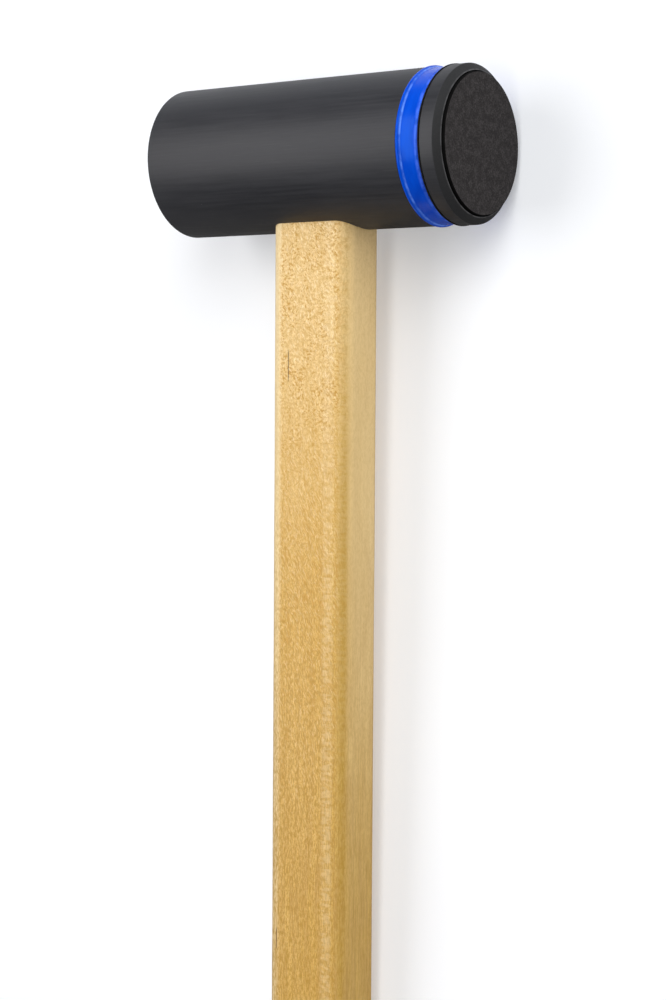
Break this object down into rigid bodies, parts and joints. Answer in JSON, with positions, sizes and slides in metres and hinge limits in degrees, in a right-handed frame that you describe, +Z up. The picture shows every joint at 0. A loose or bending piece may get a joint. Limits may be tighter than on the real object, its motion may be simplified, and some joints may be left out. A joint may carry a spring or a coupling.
{
  "type": "chime mallet",
  "caption": "Chime mallet with a cylindrical plastic head, an elastomer ring and a padded cap at one end, and a straight maple handle.",
  "frame": {"origin": "centre of the outline in X and Y, on the surface that the mallet lies on", "axes": "+X along the head's axis towards the padded end, +Y along the handle towards the head, +Z up from the surface"},
  "size_m": [0.0882, 0.3434, 0.0387],
  "materials": {
    "head_plastic": "dark grey turned plastic with a satin sheen",
    "ring_elastomer": "glossy blue elastomer",
    "washer_rubber": "thin matt black rubber",
    "cap_plastic": "dark grey turned plastic with a satin sheen",
    "pad_foam": "matt black dense foam rubber with a fine nap",
    "adhesive": "clear-cream adhesive film",
    "maple": "satin lacquered maple",
    "screw_steel": "zinc-plated steel"
  },
  "bodies": {
    "root": {"barrel": "head_plastic", "colour_ring": "ring_elastomer", "ring_washer": "washer_rubber", "end_cap": "cap_plastic", "strike_pad": "pad_foam", "pad_adhesive": "adhesive", "handle": "maple", "head_screw": "screw_steel"}
  },
  "joints": []
}
